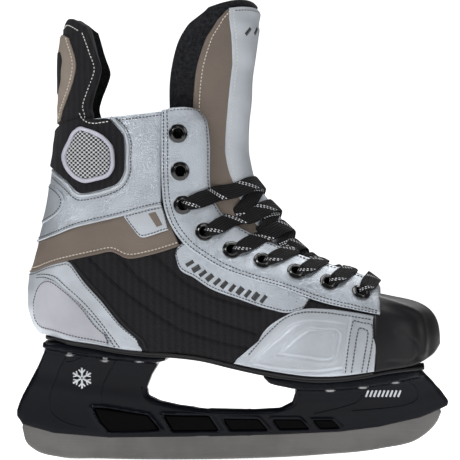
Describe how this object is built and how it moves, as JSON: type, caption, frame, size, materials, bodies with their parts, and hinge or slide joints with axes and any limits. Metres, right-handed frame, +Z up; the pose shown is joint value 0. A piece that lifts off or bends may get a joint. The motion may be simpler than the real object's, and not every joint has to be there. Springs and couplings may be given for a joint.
{
  "type": "hockey ice skate",
  "caption": "Right-foot hockey ice skate: laced boot with folding tongue and flexing tendon guard on a moulded holder with a steel runner.",
  "frame": {"origin": "on the floor under the middle of the holder, at the bottom centre of the skate's box", "axes": "+X to the toe, +Z up; the lateral (outer) side of this right-foot skate is at -Y"},
  "size_m": [0.298, 0.1021, 0.311],
  "materials": {
    "steel": "satin ground stainless steel",
    "holder_black": "glossy black nylon",
    "hardware": "zinc-plated steel",
    "rivet_steel": "plain steel",
    "outsole_black": "moulded black plastic",
    "board": "fibre board",
    "footbed_grey": "foam with brushed cover",
    "cap_black": "satin black moulded plastic",
    "counter": "thermoplastic board",
    "silver_pu": "coated silver synthetic leather, satin",
    "grey_pu": "matte grey synthetic leather",
    "taupe_pu": "taupe synthetic leather",
    "black_weave": "black ballistic nylon weave",
    "lining_black": "black brushed lining on foam",
    "badge_grey": "lavender-grey moulded plastic",
    "badge_weave": "black and white woven mesh",
    "eyelet_black": "black lacquered metal",
    "guard_black": "black moulded fabric over plastic",
    "felt": "dark grey felt",
    "lace_black": "flat black lace with white tracers"
  },
  "bodies": {
    "boot": {"runner": "steel", "holder": "holder_black", "blade_dowels": "hardware", "blade_bolts": "hardware", "heel_rivets": "rivet_steel", "toe_rivets": "rivet_steel", "outsole": "outsole_black", "insole_board": "board", "footbed": "footbed_grey", "toe_cap": "cap_black", "heel_counter": "counter", "back_stay": "silver_pu", "lining_lateral": "lining_black", "lining_medial": "lining_black", "quarter_lateral": "black_weave", "quarter_medial": "black_weave", "heel_panel_lateral": "silver_pu", "heel_panel_medial": "silver_pu", "heel_patch_lateral": "grey_pu", "heel_patch_medial": "grey_pu", "swoosh_band_lateral": "taupe_pu", "swoosh_band_medial": "taupe_pu", "ankle_panel_lateral": "silver_pu", "ankle_panel_medial": "silver_pu", "ankle_pad_lateral": "black_weave", "ankle_pad_medial": "black_weave", "badge_frame_lateral": "badge_grey", "badge_frame_medial": "badge_grey", "badge_mesh_lateral": "badge_weave", "badge_mesh_medial": "badge_weave", "label_patch_lateral": "silver_pu", "label_patch_medial": "silver_pu", "side_strip_lateral": "silver_pu", "side_strip_medial": "silver_pu", "toe_guard_lateral": "silver_pu", "toe_guard_medial": "silver_pu", "facing_lateral": "silver_pu", "facing_medial": "silver_pu", "eyelets_lateral": "eyelet_black", "eyelets_medial": "eyelet_black", "tongue_felt": "felt", "tongue_side_panels": "taupe_pu", "tongue_centre_panel": "silver_pu", "lace": "lace_black"},
    "guard": {"guard_shell": "guard_black", "guard_insert": "taupe_pu", "guard_lining": "lining_black"},
    "tongue_top": {"tongue_top_felt": "felt", "tongue_top_side_panels": "taupe_pu", "tongue_top_centre_panel": "silver_pu"}
  },
  "joints": [
    {"name": "tendon_guard_flex", "type": "hinge", "parent": "boot", "child": "guard", "pos_m": [-0.1215, 0, 0.229], "axis": [0, -1, 0], "range_deg": [0, 22], "stiffness_Nm_per_rad": 6},
    {"name": "tongue_fold", "type": "hinge", "parent": "boot", "child": "tongue_top", "pos_m": [0.0125, 0, 0.2425], "axis": [0, 1, 0], "range_deg": [0, 60], "stiffness_Nm_per_rad": 1.2}
  ]
}
